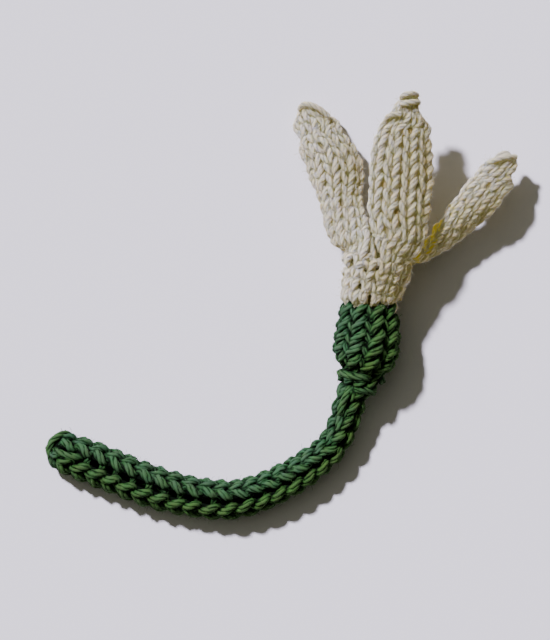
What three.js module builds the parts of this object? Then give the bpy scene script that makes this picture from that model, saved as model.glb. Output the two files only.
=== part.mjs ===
// A knitted snowdrop flower lying on its side: a knitted cord for a stem, a stuffed
// green cup, a short cream tube and three cream petals, all in stocking stitch.
// Millimetres, +Z up. The petals point to +Y and the object rests on z = 0.
import * as THREE from "three";

// Yarn and fabric
const joinGap = 0.3; // between two pieces of fabric that are knitted on to each other
const legLean = 0.8; // rows that a stitch's leg climbs from its middle to its side
const valleyHeight = 0.35; // of a leg's rise, where one stitch meets the next in its column
const bumpHeight = 0.2; // of the bars on the wrong side of a petal
const green = { color: 0x4b6a45, roughness: 0.95, metalness: 0 };
const cream = { color: 0xc9bda4, roughness: 0.93, metalness: 0 };
const wadding = { color: 0xe6e2d8, roughness: 1, metalness: 0 };

// The line through stem, cup and tube, from the stem's free end to the tube's mouth.
// turn is the angle of the gap between two stitch columns, 90 on top.
const spine = [
  { at: [-51.9, -31.1, 3.7], radius: 4.7, turn: 92 },
  { at: [-48.4, -32.1, 3.7], radius: 4.7, turn: 92 },
  { at: [-40.6, -35.1, 3.7], radius: 4.9, turn: 90 },
  { at: [-29.6, -39.5, 3.7], radius: 4.8, turn: 86 },
  { at: [-18.5, -42.2, 3.6], radius: 4.6, turn: 82 },
  { at: [-9.6, -42.3, 3.6], radius: 4.4, turn: 80 },
  { at: [-0.2, -38.7, 3.8], radius: 4.1, turn: 78 },
  { at: [5.5, -35.1, 4.0], radius: 3.9, turn: 72 },
  { at: [10.3, -31.0, 4.3], radius: 3.6, turn: 62 },
  { at: [12.9, -26.3, 4.7], radius: 3.5, turn: 50 },
  { at: [14.3, -21.5, 5.2], radius: 3.6, turn: 38 },
  { at: [15.7, -17.6, 5.8], radius: 3.7, turn: 30 },
  { at: [17.3, -13.0, 6.3], radius: 3.1, turn: 24 },
  { at: [18.3, -7.0, 6.6], radius: 3.1, turn: 20 },
  { at: [18.8, 0.8, 7.0], radius: 6.4, turn: 20 },
  { at: [19.7, 5.4, 7.4], radius: 7.3, turn: 20 },
  { at: [20.7, 9.8, 7.8], radius: 8.2, turn: 20 },
];
const stemEnd = 81.5; // length along the spine where the stem meets the cup
const cupEnd = 100.2; // and where the cup meets the tube

// rise is how far a leg stands out, and gap how far the groove beside a column sinks.
const stem = { columns: 5, rows: 22, rise: 0.75, gap: 0.7, roundEnd: 4.2, firstRing: 0.25 };
const cup = {
  columns: 9, rows: 6, rise: 0.6, gap: 0.6, wall: 2.4, floor: 3.4,
  radii: [3.6, 4.8, 4.2, 5.4, 6.6, 7.2, 7.4, 7.4, 7.3, 7.1, 6.8, 6.5, 6.3],
};
// The room inside the cup, as parts of its length and of its radius there.
const cupRoom = [[0, 0.6], [0.1, 1], [0.4, 1], [0.7, 1], [1, 1]];
const stuffing = { sides: 20, clearance: 0.4 };
const tube = { columns: 15, rows: 4, rise: 0.4, gap: 0.4, wall: 2.4 };

// A petal grows from an arc of the tube's rim, and its stations run along its middle to
// the tip. facing is the angle of the knitted side, 90 straight up and 0 to the right;
// width is measured round the curl; curl is the angle that each side turns away. Evenness 1
// curls it as an arc, more bends it near its middle line, and less bends it near its sides.
const petal = { rows: 13, rise: 0.45, gap: 0.35, front: 0.85, back: 1.15 };
const rimRun = 1.2; // how far a petal runs straight on from the rim
const tipKnot = 0.45; // swelling of the fastened-off last row

const rims = {
  petal_left: { columns: 5, facing: 171, arc: 136 },
  petal_middle: { columns: 4, facing: 62, arc: 62 },
  petal_right: { columns: 5, facing: -46, arc: 136 },
};
const petals = {
  petal_left: [
    { at: [12.9, 14.8, 9.8], facing: 140, width: 15.0, curl: 80, evenness: 0.9 },
    { at: [11.5, 22.8, 8.7], facing: 112, width: 12.8, curl: 82, evenness: 1.2 },
    { at: [10.7, 30.0, 7.9], facing: 98, width: 17.2, curl: 76, evenness: 1.4 },
    { at: [8.4, 35.6, 6.4], facing: 97, width: 13.8, curl: 72, evenness: 1.2 },
    { at: [6.4, 40.2, 4.3], facing: 96, width: 8.6, curl: 58, evenness: 1 },
    { at: [4.5, 44.0, 2.5], facing: 95, width: 4.8, curl: 30, evenness: 1 },
  ],
  petal_middle: [
    { at: [25.8, 14.6, 15.2], facing: 84, width: 12.0, curl: 60, evenness: 0.8 },
    { at: [25.1, 20.1, 15.8], facing: 92, width: 15.6, curl: 78, evenness: 0.45 },
    { at: [25.5, 27.8, 16.2], facing: 92, width: 16.2, curl: 80, evenness: 0.4 },
    { at: [25.8, 34.4, 16.4], facing: 92, width: 15.4, curl: 80, evenness: 0.4 },
    { at: [26.4, 39.3, 16.4], facing: 92, width: 11.4, curl: 70, evenness: 0.4 },
    { at: [27.3, 42.7, 16.3], facing: 92, width: 5.8, curl: 55, evenness: 0.4 },
    { at: [27.5, 46.4, 16.0], facing: 90, width: 4.2, curl: 40, evenness: 0.4 },
  ],
  petal_right: [
    { at: [31.0, 11.1, 5.4], facing: -2, width: 11.2, curl: 78, evenness: 0.8 },
    { at: [36.6, 15.2, 7.3], facing: 36, width: 9.6, curl: 80, evenness: 0.7 },
    { at: [40.0, 19.9, 8.7], facing: 66, width: 9.4, curl: 80, evenness: 0.7 },
    { at: [42.6, 23.4, 9.2], facing: 78, width: 10.2, curl: 78, evenness: 0.7 },
    { at: [44.8, 26.2, 9.1], facing: 81, width: 9.4, curl: 72, evenness: 0.7 },
    { at: [47.0, 28.9, 8.6], facing: 81, width: 7.8, curl: 62, evenness: 0.7 },
    { at: [49.0, 31.1, 7.8], facing: 80, width: 5.6, curl: 48, evenness: 0.7 },
    { at: [50.8, 32.9, 6.8], facing: 78, width: 3.6, curl: 30, evenness: 0.7 },
  ],
};

const pointsPerColumn = 4; // side gap, leg, middle groove, leg
const stepsPerRow = 2; // valley, crest
const up = new THREE.Vector3(0, 0, 1);
const radians = THREE.MathUtils.degToRad;

// Smooth value between stations, which are lists of numbers (uniform Catmull-Rom).
function smooth(stations, t) {
  const last = stations.length - 1;
  const k = Math.min(Math.floor(t), last - 1);
  const f = t - k;
  const pick = (i, c) => {
    if (i < 0) return 2 * stations[0][c] - stations[1][c];
    if (i > last) return 2 * stations[last][c] - stations[last - 1][c];
    return stations[i][c];
  };
  return stations[0].map((_, c) => {
    const [a, b, d, e] = [pick(k - 1, c), pick(k, c), pick(k + 1, c), pick(k + 2, c)];
    const slopeIn = (d - a) / 2;
    const slopeOut = (e - b) / 2;
    const cubic = 2 * b - 2 * d + slopeIn + slopeOut;
    const square = -3 * b + 3 * d - 2 * slopeIn - slopeOut;
    return ((cubic * f + square) * f + slopeIn) * f + b;
  });
}

// A path through stations that is read by its length in millimetres.
class Path {
  constructor(stations) {
    this.lists = stations.map(({ at, ...rest }) => [...at, ...Object.values(rest)]);
    const stepsPerSpan = 40;
    this.last = this.lists.length - 1;
    const steps = this.last * stepsPerSpan;
    this.table = [{ t: 0, length: 0 }];
    let before = new THREE.Vector3(...this.lists[0]);
    for (let i = 1; i <= steps; i++) {
      const t = i / stepsPerSpan;
      const here = new THREE.Vector3(...smooth(this.lists, t));
      const length = this.table.at(-1).length + here.distanceTo(before);
      this.table.push({ t, length });
      before = here;
    }
    this.length = this.table.at(-1).length;
  }

  // Place, values and frame: over is up, and right is to the right of one who walks ahead.
  read(length) {
    const wanted = THREE.MathUtils.clamp(length, 0, this.length);
    const next = Math.max(1, this.table.findIndex((entry) => entry.length >= wanted));
    const [a, b] = [this.table[next - 1], this.table[next]];
    const t = THREE.MathUtils.mapLinear(wanted, a.length, b.length, a.t, b.t);
    const [x, y, z, ...values] = smooth(this.lists, t);
    const nearby = 0.01;
    const ahead = new THREE.Vector3(...smooth(this.lists, Math.min(t + nearby, this.last)));
    const behind = new THREE.Vector3(...smooth(this.lists, Math.max(t - nearby, 0)));
    const forward = ahead.sub(behind).normalize();
    const right = forward.clone().cross(up).normalize();
    const over = right.clone().cross(forward);
    return { place: new THREE.Vector3(x, y, z), values, forward, right, over };
  }
}

// Height of the knitting above its ground: two legs to a column, parted by a groove, and
// a deeper gap to the next column; each leg swells between two valleys.
function reliefAt(point, step, { rise, gap }) {
  const across = (point % pointsPerColumn) / pointsPerColumn;
  const leg = Math.abs(Math.sin(2 * Math.PI * across));
  const swell = step % stepsPerRow ? 1 : valleyHeight;
  return across === 0 ? -gap : rise * leg * swell;
}

// Rows that a point lies ahead of its stitch's middle; the ends of a piece stay level.
function leanAt(point, row, rows) {
  const across = (point % pointsPerColumn) / pointsPerColumn;
  const clear = Math.min(1, row, rows - row);
  return legLean * clear * (Math.abs(2 * across - 1) - 0.5);
}

// A closed solid through rings of equally many points. ends says how it closes: a fan
// for a full end, a strip for the end of a folded outline, a ring for a hollow piece.
function solidThrough(rings, ends) {
  const count = rings[0].length;
  const points = rings.flat();
  const faces = [];
  const quad = (a, b, c, d) => faces.push(a, b, c, a, c, d);
  const spans = ends === "ring" ? rings.length : rings.length - 1;
  for (let r = 0; r < spans; r++) {
    const [lower, upper] = [r * count, ((r + 1) % rings.length) * count];
    for (let i = 0; i < count; i++) {
      const j = (i + 1) % count;
      quad(lower + i, lower + j, upper + j, upper + i);
    }
  }
  const lastRing = (rings.length - 1) * count;
  if (ends === "fan") {
    for (const start of [0, lastRing]) {
      const middle = new THREE.Vector3();
      for (let i = 0; i < count; i++) middle.addScaledVector(points[start + i], 1 / count);
      const hub = points.push(middle) - 1;
      for (let i = 0; i < count; i++) {
        const j = (i + 1) % count;
        if (start === 0) faces.push(hub, j, i);
        else faces.push(hub, start + i, start + j);
      }
    }
  }
  if (ends === "strip") {
    for (let i = 0; i < count / 2 - 1; i++) {
      const back = count - 1 - i;
      quad(i + 1, i, back, back - 1);
      quad(lastRing + i, lastRing + i + 1, lastRing + back - 1, lastRing + back);
    }
  }
  const places = points.flatMap((point) => point.toArray());
  const geometry = new THREE.BufferGeometry();
  geometry.setAttribute("position", new THREE.Float32BufferAttribute(places, 3));
  geometry.setIndex(faces);
  geometry.computeVertexNormals();
  return geometry;
}

function piece(name, rings, ends, finish) {
  const material = new THREE.MeshStandardMaterial(finish);
  const mesh = new THREE.Mesh(solidThrough(rings, ends), material);
  mesh.name = name;
  return mesh;
}

// A point beside a path, flattened where it would sink into the surface.
function pointRound({ place, right, over }, angle, radius) {
  const point = place.clone().addScaledVector(right, radius * Math.cos(angle));
  point.addScaledVector(over, radius * Math.sin(angle));
  point.z = Math.max(point.z, 0);
  return point;
}

// Rings of knitting round the spine between two lengths; radiusAt reads the part of the
// way from 0 to 1 and the spine's own radius there.
function knittedRings(path, from, to, knit, radiusAt) {
  const count = knit.columns * pointsPerColumn;
  const steps = knit.rows * stepsPerRow;
  return Array.from({ length: steps + 1 }, (_, step) =>
    Array.from({ length: count }, (_, i) => {
      const part = (step / stepsPerRow + leanAt(i, step / stepsPerRow, knit.rows)) / knit.rows;
      const station = path.read(from + (to - from) * part);
      const [ground, turn] = station.values;
      const angle = radians(turn) - (2 * Math.PI * i) / count;
      const radius = radiusAt(part, ground);
      const relief = reliefAt(i, step, knit) * Math.min(1, radius / (4 * knit.rise));
      return pointRound(station, angle, radius - knit.rise + relief);
    }),
  );
}

// Plain rings inside a hollow piece, turned with the stitch columns outside.
function plainRings(path, lengths, radii, count) {
  return lengths.map((length, k) => {
    const station = path.read(length);
    const turn = radians(station.values[1]);
    const angleOf = (i) => turn - (2 * Math.PI * i) / count;
    return Array.from({ length: count }, (_, i) => pointRound(station, angleOf(i), radii[k]));
  });
}

function makeStem(path) {
  const [from, to] = [stem.firstRing, stemEnd - joinGap / 2];
  const rounded = (length) => Math.sqrt(1 - (1 - Math.min(length / stem.roundEnd, 1)) ** 2);
  const radiusAt = (part, ground) => ground * rounded(from + part * (to - from));
  return piece("stem", knittedRings(path, from, to, stem, radiusAt), "fan", green);
}

const cupFrom = stemEnd + joinGap / 2;
const cupTo = cupEnd - joinGap / 2;

function cupRadius(part) {
  return smooth(cup.radii.map((radius) => [radius]), part * (cup.radii.length - 1))[0];
}

// Lengths and radii of the cup's room, or of what fills it with some clearance.
function roomProfile(clearance) {
  const floor = cupFrom + cup.floor + clearance;
  const rim = cupTo - clearance;
  return cupRoom.map(([part, share]) => {
    const length = floor + part * (rim - floor);
    const outside = cupRadius((length - cupFrom) / (cupTo - cupFrom));
    return [length, share * (outside - cup.rise - cup.wall) - clearance];
  });
}

function makeCup(path) {
  const outside = knittedRings(path, cupFrom, cupTo, cup, cupRadius);
  const room = roomProfile(0).reverse();
  const count = cup.columns * pointsPerColumn;
  const inside = plainRings(path, room.map(([length]) => length), room.map(([, r]) => r), count);
  return piece("calyx", [...outside, ...inside], "fan", green);
}

function makeStuffing(path) {
  const room = roomProfile(stuffing.clearance);
  const [lengths, radii] = [room.map(([length]) => length), room.map(([, radius]) => radius)];
  return piece("calyx_stuffing", plainRings(path, lengths, radii, stuffing.sides), "fan", wadding);
}

function makeTube(path) {
  const [from, to] = [cupEnd + joinGap / 2, path.length];
  const outside = knittedRings(path, from, to, tube, (part, ground) => ground);
  const lengths = [to, (from + to) / 2, from];
  const radii = lengths.map((length) => path.read(length).values[0] - tube.rise - tube.wall);
  const inside = plainRings(path, lengths, radii, tube.columns * pointsPerColumn);
  return piece("corolla_tube", [...outside, ...inside], "ring", cream);
}

// A point of a petal: part of the way to the tip, across from -1 to 1, and height over
// the middle of the cloth, which bends away to both sides.
function petalPoint(path, part, across, height) {
  const { place, values, right, over } = path.read(part * path.length);
  const [facing, width, curl, evenness] = values;
  const [cos, sin] = [Math.cos(radians(facing)), Math.sin(radians(facing))];
  const normal = right.clone().multiplyScalar(cos).addScaledVector(over, sin);
  const side = right.clone().multiplyScalar(sin).addScaledVector(over, -cos);
  const bendAt = (a) => radians(curl) * (evenness * a + (1 - evenness) * a ** 3);
  const slices = 12;
  const slice = (across * width) / 2 / slices;
  let [along, drop] = [0, 0];
  for (let k = 0; k < slices; k++) {
    const bend = bendAt((across * (k + 0.5)) / slices);
    along += slice * Math.cos(bend);
    drop += slice * Math.sin(bend);
  }
  const bend = bendAt(across);
  const point = place.clone().addScaledVector(side, along + height * Math.sin(bend));
  return point.addScaledVector(normal, height * Math.cos(bend) - drop);
}

// Two stations that carry a petal straight on from its arc of the tube's rim.
function rimStations(spinePath, { facing, arc }) {
  const rim = spinePath.read(spinePath.length);
  const radius = rim.values[0] - tube.rise - petal.back;
  return [joinGap, joinGap + rimRun].map((step) => {
    const at = rim.place.clone().addScaledVector(rim.forward, step);
    at.addScaledVector(rim.right, radius * Math.cos(radians(facing)));
    at.addScaledVector(rim.over, radius * Math.sin(radians(facing)));
    const width = radius * radians(arc);
    return { at: at.toArray(), facing, width, curl: arc / 2, evenness: 1 };
  });
}

function makePetal(name, spinePath) {
  const path = new Path([...rimStations(spinePath, rims[name]), ...petals[name]]);
  const last = rims[name].columns * pointsPerColumn;
  const rings = [];
  for (let step = 0; step <= petal.rows * stepsPerRow; step++) {
    const row = step / stepsPerRow;
    const knot = tipKnot * Math.max(0, row - petal.rows + 1);
    const bump = bumpHeight * (step % stepsPerRow);
    const outline = (heightOf) => Array.from({ length: last + 1 }, (_, i) => {
      const part = (row + leanAt(i, row, petal.rows)) / petal.rows;
      return petalPoint(path, part, (2 * i) / last - 1, heightOf(i));
    });
    const front = outline((i) => petal.front + knot + reliefAt(i, step, petal));
    const back = outline(() => -petal.back - knot - bump);
    rings.push([...front, ...back.reverse()]);
  }
  return piece(name, rings, "strip", cream);
}

const flower = new THREE.Group();
const spinePath = new Path(spine);
flower.add(makeStem(spinePath), makeCup(spinePath));
flower.add(makeStuffing(spinePath), makeTube(spinePath));
for (const name of Object.keys(petals)) flower.add(makePetal(name, spinePath));

export default flower;
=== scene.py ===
import math

import bmesh
import bpy
import numpy as np
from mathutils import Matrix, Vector


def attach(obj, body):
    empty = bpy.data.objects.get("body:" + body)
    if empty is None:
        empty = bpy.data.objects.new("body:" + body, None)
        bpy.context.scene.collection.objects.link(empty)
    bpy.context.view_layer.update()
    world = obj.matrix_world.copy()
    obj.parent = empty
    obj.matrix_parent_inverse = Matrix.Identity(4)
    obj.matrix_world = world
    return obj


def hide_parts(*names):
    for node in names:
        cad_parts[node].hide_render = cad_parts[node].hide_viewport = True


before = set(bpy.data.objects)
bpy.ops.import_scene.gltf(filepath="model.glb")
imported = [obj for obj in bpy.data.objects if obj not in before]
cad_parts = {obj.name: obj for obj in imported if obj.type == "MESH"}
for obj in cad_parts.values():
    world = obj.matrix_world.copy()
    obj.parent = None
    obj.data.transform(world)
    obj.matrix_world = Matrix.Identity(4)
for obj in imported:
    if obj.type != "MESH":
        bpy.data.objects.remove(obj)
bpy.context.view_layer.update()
print("frame:", len(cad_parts), "nodes")

# A knitted snowdrop flower: every piece is worked stitch by stitch from plied yarn.
# Lists of places are in millimetres, and mm turns them into metres.
mm = 0.001
fullTurn = 2 * math.pi

# The line through stem, cup and tube: x, y, z, radius and the angle of the gap between two
# stitch columns, 90 on top.
spineStations = [
    [-51.9, -31.1, 3.7, 4.7, 92],
    [-48.4, -32.1, 3.7, 4.7, 92],
    [-40.6, -35.1, 3.7, 4.9, 90],
    [-29.6, -39.5, 3.7, 4.8, 86],
    [-18.5, -42.2, 3.6, 4.6, 82],
    [-9.6, -42.3, 3.6, 4.4, 80],
    [-0.2, -38.7, 3.8, 4.1, 78],
    [5.5, -35.1, 4.0, 3.9, 72],
    [10.3, -31.0, 4.3, 3.6, 62],
    [12.9, -26.3, 4.7, 3.5, 50],
    [14.3, -21.5, 5.2, 3.6, 38],
    [15.7, -17.6, 5.8, 3.7, 30],
    [17.3, -13.0, 6.3, 3.1, 24],
    [18.3, -7.0, 6.6, 3.1, 20],
    [18.8, 0.8, 7.0, 6.4, 20],
    [19.7, 5.4, 7.4, 7.3, 20],
    [20.7, 9.8, 7.8, 8.2, 20],
]
stemRoundEnd = 4.2  # the free end is rounded over this length
stemRoundPower = 2.4  # 2 would round it as a half circle
# The cup's radii, evenly spaced from the stem to the tube
cupRadii = [3.6, 4.8, 4.2, 5.4, 6.6, 7.2, 7.4, 7.4, 7.3, 7.1, 6.8, 6.5, 6.3]

# A petal's middle line: x, y, z, the angle of its knitted side, its width round the curl,
# how far each side turns away, and how evenly it curls.
petalStations = {
    "petal_left": [
        [12.9, 14.8, 9.8, 140, 15.0, 80, 0.9],
        [11.5, 22.8, 8.7, 112, 12.8, 82, 1.2],
        [10.7, 30.0, 7.9, 98, 17.2, 76, 1.4],
        [8.4, 35.6, 6.4, 97, 13.8, 72, 1.2],
        [6.4, 40.2, 4.3, 96, 8.6, 58, 1],
        [4.5, 44.0, 2.5, 95, 4.8, 30, 1],
    ],
    "petal_middle": [
        [25.8, 14.6, 15.2, 84, 12.0, 60, 0.8],
        [25.1, 20.1, 15.8, 92, 15.6, 78, 0.45],
        [25.5, 27.8, 16.2, 92, 16.2, 80, 0.4],
        [25.8, 34.4, 16.4, 92, 15.4, 80, 0.4],
        [26.4, 39.3, 16.4, 92, 11.4, 70, 0.4],
        [27.3, 42.7, 16.3, 92, 5.8, 55, 0.4],
        [27.5, 46.4, 16.0, 90, 4.2, 40, 0.4],
    ],
    "petal_right": [
        [31.0, 11.1, 5.4, -2, 11.2, 78, 0.8],
        [36.6, 15.2, 7.3, 36, 9.6, 80, 0.7],
        [40.0, 19.9, 8.8, 68, 9.2, 74, 0.7],
        [42.6, 23.4, 9.4, 88, 9.6, 62, 0.7],
        [44.8, 26.2, 9.4, 94, 9.2, 54, 0.7],
        [46.4, 29.0, 9.0, 94, 8.0, 48, 0.7],
        [48.3, 31.2, 8.4, 92, 6.4, 42, 0.7],
        [50.2, 33.1, 7.4, 90, 4.8, 34, 0.7],
    ],
}
# Where each petal leaves the tube's rim: the angle of its middle and the arc it takes.
petalRims = {"petal_left": (171, 136), "petal_middle": (62, 62), "petal_right": (-46, 136)}
petalStitches = {
    "petal_left": [5, 5, 5, 5, 5, 5, 5, 5, 5, 5, 4, 3, 2],
    "petal_middle": [3, 3, 4, 4, 4, 4, 4, 4, 4, 4, 4, 3, 2],
    "petal_right": [5, 5, 5, 4, 4, 4, 4, 4, 4, 4, 4, 3, 3],
}
rimStep = 0.3  # how far past the tube a petal starts
rimRun = 1.2  # and how far it runs straight on from there
rimDepth = 1.55  # of a petal's middle surface under the tube's outside
hem = 0.7  # what the yarn's thickness takes at each side of a petal
tipRoom = 1.0  # and what the last loops take at its tip


def fill(node, values):
    # Sets or links a node's sockets
    for key, value in values.items():
        if isinstance(value, Wire):
            node.id_data.links.new(value.socket, node.inputs[key])
        else:
            node.inputs[key].default_value = value


class Wire:
    # A socket of a node tree. Sums on it add Math nodes, and add() makes any other node.
    def __init__(self, tree, socket=None):
        self.tree = tree
        self.socket = socket

    def add(self, kind, settings=None, values=None, output=0):
        node = self.tree.nodes.new(kind)
        for name, value in (settings or {}).items():
            if name == "stops":
                stops = node.color_ramp.elements
                while len(stops) < len(value):
                    stops.new(1)
                for stop, (place, colour) in zip(stops, value):
                    stop.position = place
                    stop.color = (*colour, 1)
            else:
                setattr(node, name, value)
        fill(node, values or {})
        return Wire(self.tree, node.outputs[output])

    def out(self, name):
        return Wire(self.tree, self.socket.node.outputs[name])

    def maths(self, operation, *values):
        return self.add("ShaderNodeMath", {"operation": operation}, dict(enumerate(values)))

    def vector(self, operation, *values):
        return self.add("ShaderNodeVectorMath", {"operation": operation}, dict(enumerate(values)))

    def scaled(self, amount):
        return self.add("ShaderNodeVectorMath", {"operation": "SCALE"}, {0: self, "Scale": amount})

    def __add__(self, other):
        return self.maths("ADD", self, other)

    def __radd__(self, other):
        return self.maths("ADD", other, self)

    def __sub__(self, other):
        return self.maths("SUBTRACT", self, other)

    def __rsub__(self, other):
        return self.maths("SUBTRACT", other, self)

    def __mul__(self, other):
        return self.maths("MULTIPLY", self, other)

    def __rmul__(self, other):
        return self.maths("MULTIPLY", other, self)

    def __truediv__(self, other):
        return self.maths("DIVIDE", self, other)

    def __rtruediv__(self, other):
        return self.maths("DIVIDE", other, self)


# Short forms of the nodes that come up often


def split(vector):
    return vector.add("ShaderNodeSeparateXYZ", {}, {0: vector})


def joined(x, y, z):
    return x.add("ShaderNodeCombineXYZ", {}, {"X": x, "Y": y, "Z": z})


def noise(place, scale, detail, seed=None, output=0):
    settings = {} if seed is None else {"noise_dimensions": "4D"}
    values = {"Vector": place, "Scale": scale, "Detail": detail}
    if seed is not None:
        values["W"] = seed
    return place.add("ShaderNodeTexNoise", settings, values, output)


def dot(first, second):
    values = {0: first, 1: second}
    return first.add("ShaderNodeVectorMath", {"operation": "DOT_PRODUCT"}, values, "Value")


def stored(geometry, name, value, kind="FLOAT"):
    # Keeps a value on every point, under a name
    settings = {"data_type": kind, "domain": "POINT"}
    values = {"Geometry": geometry, "Name": name, "Value": value}
    return geometry.add("GeometryNodeStoreNamedAttribute", settings, values)


def named(net, name, kind="FLOAT"):
    return net.add("GeometryNodeInputNamedAttribute", {"data_type": kind}, {"Name": name})


def moved(geometry, value, socket="Offset"):
    return geometry.add("GeometryNodeSetPosition", {}, {"Geometry": geometry, socket: value})


def shadedSmooth(geometry):
    return geometry.add("GeometryNodeSetShadeSmooth", {}, {"Geometry": geometry})


def meshOf(thing):
    return thing.add("GeometryNodeObjectInfo", {}, {"Object": thing}, "Geometry")


def resampled(line, step):
    values = {"Curve": line, "Length": step}
    return line.add("GeometryNodeResampleCurve", {"mode": "LENGTH"}, values)


def circleOf(net, sides):
    return net.add("GeometryNodeCurvePrimitiveCircle", {}, {"Resolution": sides, "Radius": 1})


def gathered(*parts):
    whole = parts[0].add("GeometryNodeJoinGeometry")
    for part in parts:
        whole.tree.links.new(part.socket, whole.socket.node.inputs[0])
    return whole


def newTree(name, inputs):
    tree = bpy.data.node_groups.new(name, "GeometryNodeTree")
    tree.interface.new_socket("Geometry", in_out="INPUT", socket_type="NodeSocketGeometry")
    for label, kind in inputs.items():
        tree.interface.new_socket(label, in_out="INPUT", socket_type="NodeSocket" + kind)
    tree.interface.new_socket("Geometry", in_out="OUTPUT", socket_type="NodeSocketGeometry")
    group = tree.nodes.new("NodeGroupInput")
    given = {socket.name: Wire(tree, socket) for socket in group.outputs if socket.name}
    return tree, given


def endTree(tree, geometry, material):
    realized = geometry.add("GeometryNodeRealizeInstances", {}, {"Geometry": geometry})
    finished = realized.add("GeometryNodeSetMaterial", {}, {"Geometry": realized, "Material": material})
    end = tree.nodes.new("NodeGroupOutput")
    tree.links.new(finished.socket, end.inputs[0])


def link(name, mesh):
    made = bpy.data.objects.new(name, mesh)
    bpy.context.scene.collection.objects.link(made)
    return made


def bake(source, tree, inputs, name):
    # Runs a tree on an object and keeps the result as a plain mesh.
    modifier = source.modifiers.new(tree.name, "NODES")
    modifier.node_group = tree
    for item in tree.interface.items_tree:
        if item.in_out == "INPUT" and item.name in inputs:
            modifier[item.identifier] = inputs[item.name]
    bpy.context.view_layer.update()
    graph = bpy.context.evaluated_depsgraph_get()
    mesh = bpy.data.meshes.new_from_object(source.evaluated_get(graph), depsgraph=graph)
    source.modifiers.remove(modifier)
    mesh.name = name
    mesh.materials.clear()
    mesh.materials.append(inputs["Material"])
    mesh.polygons.foreach_set("material_index", np.zeros(len(mesh.polygons), int))
    return mesh


def discard(*objects):
    for thing in objects:
        mesh = thing.data
        bpy.data.objects.remove(thing)
        bpy.data.meshes.remove(mesh)


# Paths and cloth


def smooth(stations, spot):
    # Catmull-Rom between stations, with mirrored ends
    last = len(stations) - 1
    span = min(int(spot), last - 1)
    share = spot - span
    before = stations[span - 1] if span else 2 * stations[0] - stations[1]
    after = stations[span + 2] if span + 2 <= last else 2 * stations[last] - stations[last - 1]
    here, there = stations[span], stations[span + 1]
    slopeIn = (there - before) / 2
    slopeOut = (after - here) / 2
    cubic = 2 * here - 2 * there + slopeIn + slopeOut
    square = 3 * there - 3 * here - 2 * slopeIn - slopeOut
    return ((cubic * share + square) * share + slopeIn) * share + here


class Path:
    # A smooth line through stations, read by its length in millimetres
    stepsPerSpan = 40

    def __init__(self, stations):
        self.stations = np.array(stations, float)
        self.last = len(stations) - 1
        self.spots = np.linspace(0, self.last, self.last * self.stepsPerSpan + 1)
        places = np.array([smooth(self.stations, spot)[:3] for spot in self.spots])
        gaps = np.linalg.norm(np.diff(places, axis=0), axis=1)
        self.lengths = np.concatenate([[0], np.cumsum(gaps)])
        self.length = self.lengths[-1]

    def read(self, length):
        # Place, values, and the directions ahead, to the right and up; it runs straight past its ends
        wanted = min(max(length, 0), self.length)
        spot = float(np.interp(wanted, self.lengths, self.spots))
        here = smooth(self.stations, spot)
        nearby = 0.01
        ahead = smooth(self.stations, min(spot + nearby, self.last))[:3]
        behind = smooth(self.stations, max(spot - nearby, 0))[:3]
        forward = (ahead - behind) / np.linalg.norm(ahead - behind)
        right = np.cross(forward, [0, 0, 1])
        right /= np.linalg.norm(right)
        over = np.cross(right, forward)
        return here[:3] + forward * (length - wanted), here[3:], forward, right, over


spine = Path(spineStations)


def makeCloth(name, columns, rows, pointAt, perColumn=4, perRow=3):
    # A sheet that carries stitches: its attribute "stitch" counts columns and rows, and it
    # reaches past the knitting on every side so that loops can hang over.
    wide = np.linspace(columns[0], columns[1], int((columns[1] - columns[0]) * perColumn) + 1)
    tall = np.linspace(rows[0], rows[1], int((rows[1] - rows[0]) * perRow) + 1)
    points = [tuple(pointAt(column, row) * mm) for row in tall for column in wide]
    across = len(wide)
    corners = [line * across + spot for line in range(len(tall) - 1) for spot in range(across - 1)]
    faces = [(corner, corner + 1, corner + across + 1, corner + across) for corner in corners]
    mesh = bpy.data.meshes.new(name)
    mesh.from_pydata(points, [], faces)
    stitch = mesh.attributes.new("stitch", "FLOAT_VECTOR", "POINT")
    counts = [(column, row, 0) for row in tall for column in wide]
    stitch.data.foreach_set("vector", np.array(counts).ravel())
    return link(name, mesh)


def roundPoint(knit, radiusAt, depth=0):
    # The outside of a piece knitted in the round; ladder is the gap between first and last column
    start, end = knit["from"], knit["to"]
    columns, rows, ladder = knit["columns"], knit["rows"], knit.get("ladder", 0)
    leastRadius = 0.1

    def pointAt(column, row):
        length = start + (end - start) * row / rows
        radius = radiusAt(length) + depth
        if knit.get("closed"):
            length = max(length, 0)
        place, values, _, right, over = spine.read(length)
        angle = math.radians(values[1] - ladder / 2 - (360 - ladder) * column / columns)
        return place + max(radius, leastRadius) * (math.cos(angle) * right + math.sin(angle) * over)

    return pointAt


def roundRoute(columns, rows):
    # One straight line in stitches: worked in the round, the yarn climbs one row a turn
    return [(0, 0.0), (columns * rows, float(rows))]


def petalEdges(counts):
    # First and last column of each row; a stitch is gained or lost on alternate sides
    first, last = 0, counts[0]
    edges = [(first, last)]
    side = 0
    for before, count in zip(counts, counts[1:]):
        step = 1 if count > before else -1
        for _ in range(abs(count - before)):
            if side:
                last += step
            else:
                first -= step
            side = 1 - side
        edges.append((first, last))
    return edges


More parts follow.
